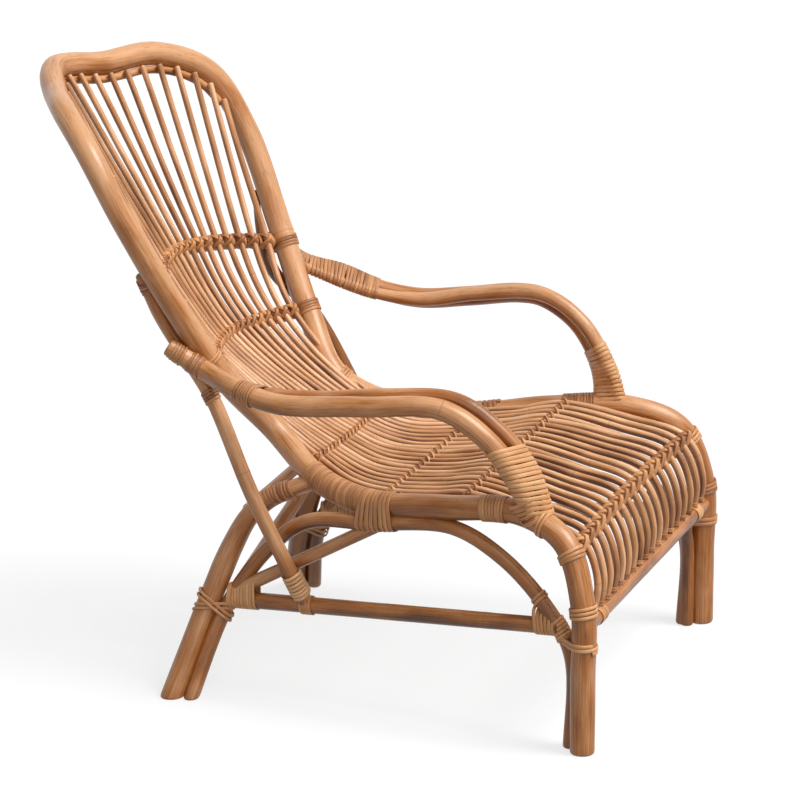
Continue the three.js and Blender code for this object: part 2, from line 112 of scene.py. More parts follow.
# Crest rod, crossrail and arms. A rider runs along the inner side of each arm.
CREST_END = (254, 728, 762)
CREST_STATIONS = 16
CROSSRAIL_HEIGHT = 188.0
ARMS = {
    "left": {
        "back": (206, 618, 532),
        "tail": (5, 54, 34),
        "stations": [(256, 556, 505), (274, 503, 480), (284, 441, 469), (289, 363, 478), (289, 285, 490),
                     (287, 246, 487), (284, 197, 459), (280, 166, 419), (274, 149, 378)],
        "foot": (258, 141, 335),
        "rider_from_stile": True,
    },
    "right": {
        "back": (192, 596, 500),
        "tail": (5, 54, 32),
        "stations": [(262, 540, 479), (282, 465, 467), (290, 335, 478), (286, 215, 484), (281, 147, 442),
                     (276, 107, 388)],
        "foot": (269, 80, 331),
        "rider_from_stile": False,
    },
}
RIDER_TILT = (-12.0, 46.0)
RIDER_STATIONS = (0.28, 0.4, 0.55, 0.7, 0.8, 0.9)
RIDER_HEADS = {"on_stile": 0.16, "on_arm": 0.22}

# Underframe: rear legs, side arches, stretchers, braces, struts, rear rail, cross brace and front arch.
REAR_LEG = [(267, 634, 0), (203, 598, 133), (190, 568, 213), (188, 540, 264), (186, 511, 292), (186, 471, 312)]
ARCH_REAR = [(205, 498, 230), (222, 436, 276)]
ARCH_FRONT = [(257, 137, 266), (276, 66, 209)]
ARCH_CONTACT_REAR = (226, 335, 314)
ARCH_CONTACT_FRONT = (251, 215, 329)
ARCH_BOUND_HEIGHT = 140.0
STRETCHER_REAR = (205, 565, 138)
STRETCHER_FRONT = (288, 34, 185)
BRACE_FOOT = (203, 556, 149)
BRACE_HEAD = (242, 264, 322)
STRUT_HEAD = (237, 669, 634)
STRUT_STATIONS = [(213, 666, 560), (201, 642, 512), (222, 587, 450), (241, 518, 313), (239, 457, 194)]
STRUT_SCARF = 9.0
STRUT_FOOT = (224, 442, 149)
REAR_RAIL_SEAT = (188, 540, 264)
REAR_RAIL_SETBACK = 8.0
RAIL_HIDDEN = 6.0
CROSS_BRACE = {"foot": (203, 570, 146), "head": (189, 552, 242)}
FRONT_ARCH_CORNER = 58.0
FRONT_ARCH_SETBACK = 16.0

# Directions.
LEFT = np.array([1.0, 0.0, 0.0])
BACK = np.array([0.0, 1.0, 0.0])
FORWARD = np.array([0.0, -1.0, 0.0])
DOWN = np.array([0.0, 0.0, -1.0])
FRONT_LEG_SIDE = np.array([-0.6, 0.8, 0.0])
RAIL_SIDE = np.array([0.5, 0.0, -0.87])
MIRROR = np.array([-1.0, 1.0, 1.0])


def vec(point):
    return np.array(point, float)


def unit(vectors):
    return vectors / np.maximum(np.linalg.norm(vectors, axis=-1, keepdims=True), 1e-9)


def lerp(a, b, fraction):
    return a + (b - a) * fraction


def across(tangent, direction):
    """Unit vector across a tangent, as close to a wanted direction as it can be."""
    return unit(direction - np.sum(direction * tangent, axis=-1, keepdims=True) * tangent)


PLAIN = ((0.0, 1.0), (1.0, 1.0))


class Path:
    """A curve held as close points, read by fractions of its length."""

    def __init__(self, points):
        self.points = np.asarray(points, float)
        steps = np.linalg.norm(np.diff(self.points, axis=0), axis=1)
        self.walk = np.concatenate([[0.0], np.cumsum(steps)])
        self.length = self.walk[-1]
        self.diameter, self.taper = 0.0, PLAIN

    def radius(self, fraction):
        stations, scales = zip(*self.taper)
        return self.diameter / 2 * np.interp(fraction, stations, scales)

    def at(self, fraction):
        walk = np.asarray(fraction, float) * self.length
        return np.stack([np.interp(walk, self.walk, axis) for axis in self.points.T], axis=-1)

    def tangent(self, fraction):
        reach = 1.5 / self.length
        fraction = np.asarray(fraction, float)
        return unit(self.at(np.clip(fraction + reach, 0, 1)) - self.at(np.clip(fraction - reach, 0, 1)))

    def nearest(self, point):
        fractions = np.linspace(0.0, 1.0, 1201)
        return fractions[np.argmin(np.linalg.norm(self.at(fractions) - point, axis=1))]

    def on(self, point):
        return self.at(self.nearest(point))

    def beside(self, point, direction, distance):
        fraction = self.nearest(point)
        return self.at(fraction) + across(self.tangent(fraction), direction) * distance

    def part(self, start, end):
        count = max(3, int((end - start) * self.length / 3.0))
        return Path(self.at(np.linspace(start, end, count)))

    def mirrored(self):
        return Path(self.points * MIRROR)


def catmull(points, closed=False, steps=14):
    """Points of a centripetal Catmull-Rom curve through stations."""
    points = np.asarray(points, float)
    if closed:
        padded = np.concatenate([points[-1:], points, points[:2]])
    else:
        padded = np.concatenate([2 * points[:1] - points[1:2], points, 2 * points[-1:] - points[-2:-1]])
    curve = []
    share = np.linspace(0.0, 1.0, steps, endpoint=False)[:, None]
    for before, start, end, after in zip(padded, padded[1:], padded[2:], padded[3:]):
        gaps = [max(np.linalg.norm(b - a), 1e-6) ** 0.5 for a, b in ((before, start), (start, end), (end, after))]
        leave = (start - before) / gaps[0] - (end - before) / (gaps[0] + gaps[1]) + (end - start) / gaps[1]
        arrive = (end - start) / gaps[1] - (after - start) / (gaps[1] + gaps[2]) + (after - end) / gaps[2]
        leave, arrive = leave * gaps[1], arrive * gaps[1]
        bend = -3 * start + 3 * end - 2 * leave - arrive
        twist = 2 * start - 2 * end + leave + arrive
        curve.append(start + leave * share + bend * share ** 2 + twist * share ** 3)
    if not closed:
        curve.append(points[-1:])
    return np.concatenate(curve)


def route(points):
    return Path(catmull(points, steps=40))


def straight(start, end):
    return Path(np.linspace(start, end, 120))


def footed(foot, following):
    along = foot - following
    return foot + along * FOOT_TRIM / abs(along[2])


# Paths of the poles, by the same rules as the CAD model.
half = [vec(point) for point in FRAME.values()]
half[0] = footed(half[0], half[1])
loop = route(half + [point * MIRROR for point in half[-2::-1]])
splice = loop.nearest(vec(FRAME["rear_bend"]))


class Bar:
    """A bar bowed through its middle point, read by its own parameter."""

    def __init__(self, end, middle, edge):
        self.start, self.end, self.edge = end, end * MIRROR, edge
        self.control = 2 * middle - (self.start + self.end) / 2

    def at(self, t):
        return (1 - t) ** 2 * self.start + 2 * t * (1 - t) * self.control + t ** 2 * self.end

    def tangent(self, t):
        return unit((1 - t) * (self.control - self.start) + t * (self.end - self.control))

    def path(self):
        return Path([self.at(t) for t in np.linspace(0.0, 1.0, 160)])


bars = {}
for name, spec in BARS.items():
    bars[name] = Bar(loop.on(vec(spec["end"])), vec((0, *spec["middle"])), spec["edge"])
bar_list = list(bars.values())
on_front_leg = lambda height: np.array([FRAME["foot"][0], 0.0, height])
rail_end = loop.on(on_front_leg(CROSSRAIL_HEIGHT))
crossrail = Bar(rail_end, rail_end * [0, 1, 1], CROSSRAIL_EDGE)
crest_end = loop.nearest(vec(CREST_END))


def crest_point(place):
    fraction = lerp(crest_end, 1 - crest_end, place)
    hoop_point = loop.at(fraction)
    side = across(loop.tangent(fraction), bar_list[0].at(place) - hoop_point)
    return hoop_point + side * (FRAME_D / 2 + GAP + CREST_ROD_D / 2)


crest_rod = route([crest_point(i / CREST_STATIONS) for i in range(CREST_STATIONS + 1)])


def bar_fraction(bar, place):
    inset = FRAME_D / 2 + CANE_D + bar.edge + SPINDLE_D / 2 - SPINDLE_SPREAD
    margin = inset / (2 * bar.start[0])
    return lerp(margin, 1 - margin, place)


def crossing(index, place):
    """Where a spindle crosses a bar: the spindle's centre, the bar's, and the directions there."""
    bar = bar_list[index]
    fraction = bar_fraction(bar, place)
    before = bar_list[index - 1].at(fraction) if index > 0 else crest_point(place)
    after = bar_list[index + 1].at(fraction) if index + 1 < len(bar_list) else crossrail.at(fraction)
    along = bar.tangent(fraction)
    outward = unit(np.cross(along, after - before))
    centre = bar.at(fraction)
    return centre + outward * (BAR_D / 2 + SPINDLE_SEAT + SPINDLE_D / 2), centre, along, outward


def spindle_head(place, following):
    rod = crest_rod.at(place)
    down = unit(following - rod)
    outward = unit(np.cross(crest_rod.tangent(place), down))
    return rod + outward * (CREST_ROD_D / 2 + SPINDLE_SEAT + SPINDLE_D / 2) - down * SPINDLE_HEAD


# How far a spindle strays sideways, and sags, between one bar and the next.
SPINDLE_WANDER = (2.6, 1.5, 1.2, 1.2, 1.6)
SPINDLE_SAG = (0.0, 0.0, 0.0, 5.0, 2.0)
FRONT_STEPS = SPINDLE_COUNT - len(SHORT_SPINDLES) - 1
LAST_BAR = len(bar_list) - 1


def spindle_rank(i):
    return i - sum(short < i for short in SHORT_SPINDLES)


def spindle_path(i):
    place = i / (SPINDLE_COUNT - 1)
    rank = spindle_rank(i)
    seated = [crossing(index, place)[0] for index in range(LAST_BAR)]
    if i in SHORT_SPINDLES:
        ending = [lerp(seated[-1], crossing(LAST_BAR, (rank - 0.5) / FRONT_STEPS)[0], SHORT_REACH)]
    else:
        edge = crossing(LAST_BAR, rank / FRONT_STEPS)[0]
        landing = crossrail.at(bar_fraction(crossrail, rank / FRONT_STEPS))
        rise = lerp(seated[-1], edge, SEAT_RISE_PLACE) - DOWN * SEAT_RISE
        ending = [rise, edge, lerp(edge, landing, 0.5) + FORWARD * SPINDLE_BULGE, landing]
    stations = [spindle_head(place, seated[0])] + seated
    random = np.random.default_rng(900 + i)
    straightest = route(stations + ending)
    bowed = []
    for wander, sag, start, end in zip(SPINDLE_WANDER, SPINDLE_SAG, stations, stations[1:]):
        between = straightest.on(lerp(start, end, random.uniform(0.4, 0.6)))
        bowed += [start, between + LEFT * wander * random.uniform(-1.0, 1.0) + DOWN * sag]
    return route(bowed + stations[-1:] + ending)


rider_distance = ARM_D / 2 + GAP + RIDER_D / 2


def rider_point(arm, fraction):
    tangent = arm.tangent(fraction)
    inward = across(tangent, -LEFT)
    upward = np.cross(inward, tangent)
    tilt = math.radians(lerp(*RIDER_TILT, fraction))
    return arm.at(fraction) + (inward * math.cos(tilt) + upward * math.sin(tilt)) * rider_distance


# Where poles get thinner, as fractions of their length and of their diameter.
TAPERS = {
    "rear_leg": ((0.0, 1.0), (0.5, 1.0), (0.85, 0.76), (1.0, 0.74)),
    "back_strut_left": ((0.0, 0.4), (0.1, 0.6), (0.2, 0.9), (0.3, 0.85), (0.5, 0.85), (0.7, 1.0), (1.0, 1.0)),
    "back_strut_right": ((0.0, 0.8), (0.12, 1.0), (1.0, 1.0)),
    "arm_left": ((0.0, 0.84), (0.15, 0.86), (0.36, 1.0), (1.0, 1.0)),
    "arm_rider_left": ((0.0, 0.6), (0.2, 0.72), (0.36, 1.0), (1.0, 1.0)),
    "arm_right": ((0.0, 0.84), (0.1, 1.0), (1.0, 1.0)),
    "arm_rider_right": ((0.0, 0.5), (0.07, 1.0), (1.0, 1.0)),
    "spindle": ((0.0, 0.92), (0.4, 0.97), (0.62, 1.07), (0.85, 1.1), (1.0, 1.05)),
}
paths = {}


def add_path(name, path, diameter):
    """Keeps a path under its name, on both sides where the name has a star."""
    sides = [("left", path), ("right", path.mirrored())] if "*" in name else [("", path)]
    for side, one in sides:
        full_name = name.replace("*", side)
        one.diameter = diameter
        one.taper = next((value for key, value in TAPERS.items() if full_name.startswith(key)), one.taper)
        paths[full_name] = one


loop.diameter = FRAME_D
add_path("side_pole_*", loop.part(0.0, splice), FRAME_D)
add_path("back_hoop", loop.part(splice, 1 - splice), FRAME_D)
for name, bar in bars.items():
    add_path(name, bar.path(), BAR_D)
add_path("front_crossrail", straight(rail_end, rail_end * MIRROR), CROSSRAIL_D)
add_path("crest_rod", crest_rod, CREST_ROD_D)
for side, spec in ARMS.items():
    passing = loop.beside(vec(spec["back"]), LEFT, FRAME_D / 2 + GAP + ARM_D / 2)
    landing = loop.on(vec(spec["foot"]))
    arm = route([passing + vec(spec["tail"]), passing] + [vec(p) for p in spec["stations"]] + [landing])
    if spec["rider_from_stile"]:
        head = [loop.on(vec(spec["back"])), rider_point(arm, RIDER_HEADS["on_stile"])]
    else:
        head = [rider_point(arm, RIDER_HEADS["on_arm"])]
    rider = route(head + [rider_point(arm, f) for f in RIDER_STATIONS] + [loop.on(landing + FORWARD * rider_distance)])
    add_path(f"arm_{side}", arm if side == "left" else arm.mirrored(), ARM_D)
    add_path(f"arm_rider_{side}", rider if side == "left" else rider.mirrored(), RIDER_D)

leg_stations = [vec(point) for point in REAR_LEG]
rear_leg = route([footed(leg_stations[0], leg_stations[1])] + leg_stations[1:] + [vec(FRAME["rear_bend"])])
add_path("rear_leg_*", rear_leg, REAR_LEG_D)
rear_seat = rear_leg.beside(vec(REAR_RAIL_SEAT), BACK, REAR_RAIL_SETBACK)
rear_seat = rear_seat - LEFT * RAIL_HIDDEN
add_path("rear_rail", straight(rear_seat, rear_seat * MIRROR), REAR_RAIL_D)

arch_to_leg = REAR_LEG_D / 2 + GAP + ARCH_D / 2
arch_to_frame = FRAME_D / 2 + GAP + ARCH_D / 2
rear_arch_foot = rear_leg.beside(leg_stations[0], FORWARD, arch_to_leg)
rear_arch_top = rear_leg.beside(np.array([*leg_stations[1][:2], ARCH_BOUND_HEIGHT]), FORWARD, arch_to_leg)
front_arch_top = loop.beside(on_front_leg(ARCH_BOUND_HEIGHT), FRONT_LEG_SIDE, arch_to_frame)
front_arch_foot = loop.beside(on_front_leg(0.0), FRONT_LEG_SIDE, arch_to_frame)
side_arch = route(
    [footed(rear_arch_foot, rear_arch_top), rear_arch_top] + [vec(p) for p in ARCH_REAR]
    + [loop.beside(vec(ARCH_CONTACT_REAR), RAIL_SIDE, arch_to_frame),
       loop.beside(vec(ARCH_CONTACT_FRONT), DOWN, arch_to_frame)]
    + [vec(p) for p in ARCH_FRONT] + [front_arch_top, footed(front_arch_foot, front_arch_top)])
add_path("side_arch_*", side_arch, ARCH_D)
stretcher = straight(side_arch.on(vec(STRETCHER_REAR)), side_arch.on(vec(STRETCHER_FRONT)))
add_path("stretcher_*", stretcher, STRETCHER_D)
brace = straight(side_arch.on(vec(BRACE_FOOT)), loop.on(vec(BRACE_HEAD)))
add_path("brace_*", brace, BRACE_D)
cross_brace = straight(side_arch.on(vec(CROSS_BRACE["foot"])) * MIRROR, rear_leg.on(vec(CROSS_BRACE["head"])))
add_path("rear_cross_brace", cross_brace, CROSS_BRACE_D)
strut_head = loop.beside(vec(STRUT_HEAD), BACK, FRAME_D / 2 + GAP + STRUT_D / 2 - STRUT_SCARF)
strut = route([strut_head] + [vec(p) for p in STRUT_STATIONS] + [stretcher.on(vec(STRUT_FOOT))])
add_path("back_strut_*", strut, STRUT_D)

beside_arch = lambda diameter: math.sqrt(((diameter + FRONT_ARCH_D) / 2 + GAP) ** 2 - FRONT_ARCH_SETBACK ** 2)
front_arch_x = rail_end[0] - beside_arch(FRAME_D)
front_arch_z = CROSSRAIL_HEIGHT - beside_arch(CROSSRAIL_D)
arch_corner = lambda inset, drop: np.array([front_arch_x - inset, FRONT_ARCH_SETBACK, front_arch_z - drop])
rounding = (1 - math.sqrt(0.5)) * FRONT_ARCH_CORNER
front_arch_half = [np.array([front_arch_x, FRONT_ARCH_SETBACK, -FOOT_TRIM]), arch_corner(0, 2 * FRONT_ARCH_CORNER),
                   arch_corner(0, FRONT_ARCH_CORNER), arch_corner(rounding, rounding),
                   arch_corner(FRONT_ARCH_CORNER, 0), arch_corner(2 * FRONT_ARCH_CORNER, 0)]
add_path("front_arch", route(front_arch_half + [p * MIRROR for p in front_arch_half[::-1]]), FRONT_ARCH_D)
for i in range(SPINDLE_COUNT):
    add_path(f"spindle_{i + 1:02d}", spindle_path(i), SPINDLE_D)


# A node's distance where there is none near, and the share of an end that shows as cut.
FAR_FROM_NODE = 100.0
CUT_SHARE = 0.86


class Shape:
    """Collects swept surfaces into one mesh, with what the materials read at each vertex."""

    def __init__(self):
        self.vertices, self.faces = [], []
        self.grain, self.marks = [], []
        self.count = 0

    def add(self, points, grain, marks):
        start = self.count
        self.vertices.append(points)
        self.grain.append(grain)
        self.marks.append(marks)
        self.count += len(points)
        return start

    def sweep(self, points, normals, tangents, section, tone, closed, offset):
        """Sweeps a section, given across and aside, along points, and closes the ends."""
        sides = np.cross(tangents, normals)
        rings, corners = len(points), len(section)
        walk = np.concatenate([[0.0], np.cumsum(np.linalg.norm(np.diff(points, axis=0), axis=1))])
        body = points[:, None] + (section[None, :, :1] * normals[:, None] + section[None, :, 1:] * sides[:, None])
        grain = np.empty((rings, corners, 3))
        grain[:, :, :2] = section[None]
        grain[:, :, 2] = walk[:, None] + offset
        marks = np.empty((rings, corners, 3))
        marks[:, :] = FAR_FROM_NODE, tone, 0.0
        self.tube(body, grain, marks, closed)

    def tube(self, body, grain, marks, closed=False):
        """Joins rings of points into a tube, and closes its ends unless it is a ring itself."""
        rings, corners = body.shape[:2]
        start = self.add(body.reshape(-1, 3), grain.reshape(-1, 3), marks.reshape(-1, 3))
        for i in range(rings if closed else rings - 1):
            here, there = start + i * corners, start + (i + 1) % rings * corners
            for j in range(corners):
                k = (j + 1) % corners
                self.faces.append((here + j, here + k, there + k, there + j))
        if not closed:
            self.cap(body[0], grain[0], marks[0], start, True)
            self.cap(body[-1], grain[-1], marks[-1], start + (rings - 1) * corners, False)

    def cap(self, rim, grain, marks, start, reverse):
        """Closes an end with a fan of faces that show cut pores."""
        corners = len(rim)
        inner_marks = marks.copy()
        inner_marks[:, 2] = 1.0
        centre = rim.mean(axis=0)
        inner = self.add(centre + (rim - centre) * CUT_SHARE, grain * [CUT_SHARE, CUT_SHARE, 1.0], inner_marks)
        middle = self.add(centre[None], grain.mean(axis=0)[None], inner_marks[:1])
        for j in range(corners):
            k = (j + 1) % corners
            band = (start + j, inner + j, inner + k, start + k)
            fan = (inner + j, middle, inner + k)
            self.faces.append(band if reverse else band[::-1])
            self.faces.append(fan if reverse else fan[::-1])

    def build(self, name, material):
        mesh = bpy.data.meshes.new(name)
        vertices = (np.concatenate(self.vertices) + [0.0, FRONT_LEG_Y, 0.0]) / 1000.0
        mesh.from_pydata(vertices.tolist(), [], self.faces)
        mesh.polygons.foreach_set("use_smooth", [True] * len(mesh.polygons))
        for key, values in (("grain", self.grain), ("marks", self.marks)):
            attribute = mesh.attributes.new(key, "FLOAT_VECTOR", "POINT")
            attribute.data.foreach_set("vector", np.concatenate(values).ravel())
        mesh.update()
        piece = bpy.data.objects.new(name, mesh)
        bpy.context.scene.collection.objects.link(piece)
        mesh.materials.append(material)
        return piece


def circle(radius, corners):
    angles = np.arange(corners) * 2 * math.pi / corners
    return radius * np.stack([np.cos(angles), np.sin(angles)], axis=1)


RIBBON_CORNERS = 10
RIBBON_ROUND = 0.75


def ribbon(width, thickness):
    """Section of a flat cane: thickness across, width aside, with rounded edges."""
    angles = np.arange(RIBBON_CORNERS) * 2 * math.pi / RIBBON_CORNERS
    soften = lambda values: np.sign(values) * np.abs(values) ** RIBBON_ROUND
    return np.stack([soften(np.cos(angles)) * thickness / 2, soften(np.sin(angles)) * width / 2], axis=1)


FIRST_NORMAL = np.array([0.31, 0.22, 0.93])


def carried_normals(tangents):
    """Normals that turn with a curve without twisting."""
    normal = across(tangents[0], FIRST_NORMAL)
    normals = []
    for tangent in tangents:
        normal = across(tangent, normal)
        normals.append(normal)
    return np.array(normals)


# Nodes of a pole: distance from one to the next, where the first may lie, the clear ends, and their reach.
NODE_SPACING = (360.0, 760.0)
NODE_LEAD = (20.0, 150.0)
NODE_CLEAR = 20.0
NODE_REACH = 6.0
NODE_RINGS = np.array([-1.6, -0.9, -0.4, 0.0, 0.4, 0.9, 1.6])
MOST_NODES = 40

# Ends and feet: how far they are rounded, and the rings that round them.
END_ROUND = 2.4
END_RINGS = np.array([0.0, 0.3, 1.0])
FOOT_ROUND = 4.0
FOOT_RINGS = (0.0, 0.12, 0.4, 1.0)
FOOT_CLEAR = 16.0
FOOT_POINTS = 40
LEAST_STEP = 0.25

# Uneven thickness: share of the radius and length of the wave.
LONG_WAVE = (0.006, 41.0)
SHORT_WAVE = (0.005, 17.0)

# Colour: painted light on the tops and painted shade on the undersides, painted shade on the sides of the spindles
# where they lie close together, and grain that differs from pole to pole.
PAINTED_TOP_LIGHT_UNDER_SHADE = 0.24
# Painted shade between the spindles: how much less of it lies where a spindle runs steeply, and the sideways facing at
# which it starts and how soon it is full.
GAP_SHADE_STEEP = 0.7
GAP_SHADE_FROM, GAP_SHADE_RANGE = 0.5, 0.4
GRAIN_STEP = 977.0


def pole_walk(spots, start, end, feet, step):
    """Distances along a pole at which it gets a ring: closer at the nodes and the eased ends."""
    first = start + FOOT_CLEAR if feet[0] else start + END_ROUND + 1.0
    last = end - FOOT_CLEAR if feet[1] else end - END_ROUND - 1.0
    walk = [np.linspace(first, last, max(4, int((last - first) / step)))]
    for spot in spots:
        near = spot + NODE_REACH * NODE_RINGS
        walk.append(near[(near > first) & (near < last)])
    if not feet[0]:
        walk.append(start + END_RINGS * END_ROUND)
    if not feet[1]:
        walk.append(end - END_RINGS * END_ROUND)
    walk = np.unique(np.concatenate(walk))
    return walk[np.concatenate([[True], np.diff(walk) > LEAST_STEP])]


def foot_rings(base, tangent, ring, radius):
    """Rings of a flat foot with a rounded edge, from the floor up."""
    rings = []
    for height in (share * FOOT_ROUND for share in FOOT_RINGS):
        ease = 1 - (1 - math.sqrt(1 - (1 - height / FOOT_ROUND) ** 2)) * FOOT_ROUND / radius
        rim = base + tangent * (height / tangent[2]) + ring * ease
        rings.append(rim + tangent * ((height - rim[:, 2]) / tangent[2])[:, None])
    return np.array(rings)


def pole(shape, path, seed, feet, corners, step, spread, swell, gap_shade):
    """Sweeps a rattan pole, with its nodes, a slightly uneven thickness, eased ends and flat feet, and a tone with
    painted light on top and painted shade below.
    """
    random = np.random.default_rng(seed)
    radius = path.diameter / 2
    tone = 0.5 + spread * random.standard_normal()
    spots = np.cumsum(random.uniform(*NODE_SPACING, MOST_NODES)) - random.uniform(*NODE_LEAD)
    spots = spots[(spots > NODE_CLEAR) & (spots < path.length - NODE_CLEAR)]
    start, end = 0.0, path.length
    if feet[0]:
        start = np.interp(0.0, path.points[:FOOT_POINTS, 2], path.walk[:FOOT_POINTS])
    if feet[1]:
        end = np.interp(0.0, path.points[::-1][:FOOT_POINTS, 2], path.walk[::-1][:FOOT_POINTS])
    walk = pole_walk(spots, start, end, feet, step)
    fractions = walk / path.length
    points, tangents = path.at(fractions), path.tangent(fractions)
    normals = carried_normals(tangents)
    distance = np.full(len(walk), FAR_FROM_NODE)
    if len(spots):
        signed = walk[:, None] - spots[None]
        distance = signed[np.arange(len(walk)), np.argmin(np.abs(signed), axis=1)]
    phase = random.uniform(0, 2 * math.pi, 2)
    scale = path.radius(fractions) / radius * (1 + swell * np.exp(-(distance / NODE_REACH) ** 2))
    scale += (LONG_WAVE[0] * np.sin(walk / LONG_WAVE[1] + phase[0])
              + SHORT_WAVE[0] * np.sin(walk / SHORT_WAVE[1] + phase[1]))
    for foot, reach in ((feet[0], walk - start), (feet[1], end - walk)):
        if not foot:
            depth = np.clip(1 - reach / END_ROUND, 0, 1)
            scale *= 1 - (1 - np.sqrt(1 - depth ** 2)) * END_ROUND / radius
    section = circle(radius, corners)
    sides = np.cross(tangents, normals)
    body = points[:, None] + scale[:, None, None] * (
        section[None, :, :1] * normals[:, None] + section[None, :, 1:] * sides[:, None])
    extra = len(FOOT_RINGS)
    if feet[0]:
        rings = foot_rings(path.at(start / path.length), tangents[0], body[0] - points[0], radius)
        body, walk = np.concatenate([rings, body]), np.concatenate([np.full(extra, walk[0]), walk])
        distance = np.concatenate([np.full(extra, distance[0]), distance])
    if feet[1]:
        rings = foot_rings(path.at(end / path.length), tangents[-1], body[-1] - points[-1], radius)[::-1]
        body, walk = np.concatenate([body, rings]), np.concatenate([walk, np.full(extra, walk[-1])])
        distance = np.concatenate([distance, np.full(extra, distance[-1])])
    grain = np.empty((len(walk), corners, 3))
    grain[:, :, :2] = section[None]
    grain[:, :, 2] = walk[:, None] + GRAIN_STEP * seed
    centres = body.mean(axis=1)
    out = unit(body - centres[:, None])
    run = np.gradient(centres, axis=0)
    steep = np.abs(run[:, 2]) / np.linalg.norm(run, axis=1)
    # Painted shade on the sides of the spindles that face their neighbours, fullest where they lie flat in the seat.
    beside = np.clip((np.abs(out @ LEFT) - GAP_SHADE_FROM) / GAP_SHADE_RANGE, 0, 1)
    marks = np.empty((len(walk), corners, 3))
    marks[:, :, 0], marks[:, :, 2] = distance[:, None], 0.0
    # Painted light and shade: the tone is raised on faces that look up and lowered on faces that look down.
    marks[:, :, 1] = tone - PAINTED_TOP_LIGHT_UNDER_SHADE * (out @ DOWN)
    marks[:, :, 1] -= gap_shade * (1 - GAP_SHADE_STEEP * steep[:, None]) * beside
    shape.tube(body, grain, marks)


def band(turn, near, far, spacing):
    """Point and outward direction on a band round one circle, or round two that lie side by side."""
    if far is None or spacing < abs(near - far) + 1.0:
        radius = near if far is None else max(near, far + spacing)
        angle = 2 * math.pi * turn
        out = np.array([math.cos(angle), math.sin(angle)])
        return radius * out, out
    lean = math.acos((near - far) / spacing)
    flat = spacing * math.sin(lean)
    near_arc, far_arc = near * (math.pi - lean), far * 2 * lean
    rim = lambda shift, radius, angle: np.array([shift + radius * math.cos(angle), radius * math.sin(angle)])
    facing = lambda angle: np.array([math.cos(angle), math.sin(angle)])
    walk = turn * 2 * (near_arc + flat + far_arc / 2)
    if walk < near_arc:
        angle = math.pi + walk / near
        return rim(0, near, angle), facing(angle)
    walk -= near_arc
    if walk < flat:
        return lerp(rim(0, near, -lean), rim(spacing, far, -lean), walk / flat), facing(-lean)
    walk -= flat
    if walk < far_arc:
        angle = walk / far - lean
        return rim(spacing, far, angle), facing(angle)
    walk -= far_arc
    if walk < flat:
        return lerp(rim(spacing, far, lean), rim(0, near, lean), walk / flat), facing(lean)
    angle = lean + (walk - flat) / near
    return rim(0, near, angle), facing(angle)


TURN_STEPS = 26
TURN_WOBBLE = 0.06
TURN_WIDTH = 0.96
WIND_FROM = DOWN + 0.05 * BACK


def wind(shape, path, centre, turns, pitch, seed, partner=None, width=None, thickness=1.9, slant=0.0, lift=0.0,
         start=0.0, tone=0.5):
    """Winds a flat cane round a pole, or round a pole and its partner, in touching turns."""
    random = np.random.default_rng(seed)
    middle = path.nearest(centre) * path.length
    width = pitch * TURN_WIDTH if width is None else width
    count = int(turns * TURN_STEPS) + 1
    turn = np.linspace(0.0, turns, count)
    walk = middle + (turn - turns / 2) * pitch
    wobble = np.interp(turn, np.arange(turns + 2), random.normal(0.0, TURN_WOBBLE * pitch, int(turns) + 2))
    walk = np.clip(walk + wobble, 0.5, path.length - 0.5)
    centres, tangents = path.at(walk / path.length), path.tangent(walk / path.length)
    radii = path.radius(walk / path.length) + thickness / 2 + lift
    points, outs = [], []
    for here, tangent, share, near in zip(centres, tangents, turn, radii):
        far, spacing, first = None, 0.0, across(tangent, WIND_FROM)
        if partner:
            closest = np.argmin(np.linalg.norm(partner.points - here, axis=1))
            offset = partner.points[closest] - here
            first = across(tangent, offset)
            spacing = float(offset @ first)
            far = float(partner.radius(partner.walk[closest] / partner.length)) + thickness / 2 + lift
        second = np.cross(tangent, first)
        (along, aside), (out_along, out_aside) = band((share + start) % 1.0, near, far, spacing)
        slope = slant * (along - spacing / 2)
        points.append(here + first * along + second * aside + tangent * slope)
        outs.append(first * out_along + second * out_aside)
    points, outs = np.array(points), np.array(outs)
    strand(shape, points, outs, ribbon(width, thickness), random, tone)


STRAND_SPREAD = 0.1
STRAND_OFFSETS = (0.0, 9000.0)


def strand(shape, points, outs, section, random, tone, closed=False):
    """Sweeps one cane, with a tone and a stretch of grain of its own."""
    if closed:
        tangents = unit(np.roll(points, -1, axis=0) - np.roll(points, 1, axis=0))
    else:
        tangents = unit(np.gradient(points, axis=0))
    normals = across(tangents, outs)
    tone += STRAND_SPREAD * random.standard_normal()
    shape.sweep(points, normals, tangents, section, tone, closed, offset=random.uniform(*STRAND_OFFSETS))


KNOT_TONE = 0.34


def cross_lash(shape, centre, along, outward, lower, upper, seed, spread, width, thickness):
    """Ties an upper rod that lies across a lower one: a strand crosses over it twice and goes round below."""
    random = np.random.default_rng(seed)
    upward = np.cross(outward, along)
    bottom = lower + thickness / 2
    top = lower + SPINDLE_SEAT + 2 * upper + thickness / 2
    aside = upper * spread
    stations = []
    for sign in (1.0, -1.0):
        stations += [
            (sign * aside * 0.95, bottom * 0.98, bottom * 0.42),
            (sign * aside * 0.52, bottom * 0.62, top * 0.8),
            (0.0, 0.0, top + sign * 0.45 * thickness),
            (-sign * aside * 0.52, -bottom * 0.62, top * 0.8),
            (-sign * aside * 0.95, -bottom * 0.98, bottom * 0.42),
            (-sign * aside, -bottom * 0.8, -bottom * 0.6),
            (-sign * aside, 0.0, -bottom),
            (-sign * aside, bottom * 0.8, -bottom * 0.6),
        ]
    local = catmull(np.array(stations), closed=True, steps=4)
    axes = np.stack([along, upward, outward])
    inner = local * [0.25, 0.0, 0.0] + [0.0, 0.0, (top - bottom) * 0.35]
    outs = unit(local - inner) @ axes
    strand(shape, centre + local @ axes, outs, ribbon(width, thickness), random, KNOT_TONE, closed=True)


